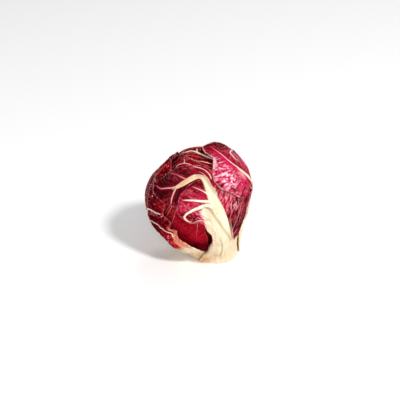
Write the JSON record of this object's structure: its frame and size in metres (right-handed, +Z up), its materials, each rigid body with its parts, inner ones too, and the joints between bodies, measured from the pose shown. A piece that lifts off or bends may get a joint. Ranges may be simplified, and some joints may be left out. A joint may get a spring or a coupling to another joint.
{
  "type": "radicchio head",
  "caption": "Round head of red radicchio standing on its cut stem, with wrapping waved leaves and broad pale midribs; food item for a kitchen, shop or still life.",
  "frame": {"origin": "middle of the bounding box at the surface the head stands on", "axes": "+Z up; -Y towards the front leaf with the broad cream midrib; the crown leans to -X"},
  "size_m": [0.1047, 0.105, 0.1128],
  "materials": {
    "cut_stem": "moist cream-white cut stem",
    "front_leaf": "waxy crimson leaf with a cream midrib",
    "bright_leaf": "waxy crinkled magenta-crimson leaf with fine cream veins",
    "dark_leaf": "waxy dark burgundy leaf with cream veins",
    "inner_leaf": "waxy deep red leaf with cream veins",
    "heart_leaf": "tightly folded pink-red inner leaves"
  },
  "bodies": {
    "root": {"stem": "cut_stem", "outer_leaf_front": "front_leaf", "outer_leaf_right": "bright_leaf", "outer_leaf_left": "dark_leaf", "outer_leaf_back": "dark_leaf", "head_leaf_right": "inner_leaf", "head_leaf_left": "inner_leaf", "head_leaf_back": "inner_leaf", "crown_leaf_1": "inner_leaf", "crown_leaf_2": "inner_leaf", "crown_leaf_3": "inner_leaf", "heart": "heart_leaf"}
  },
  "joints": []
}
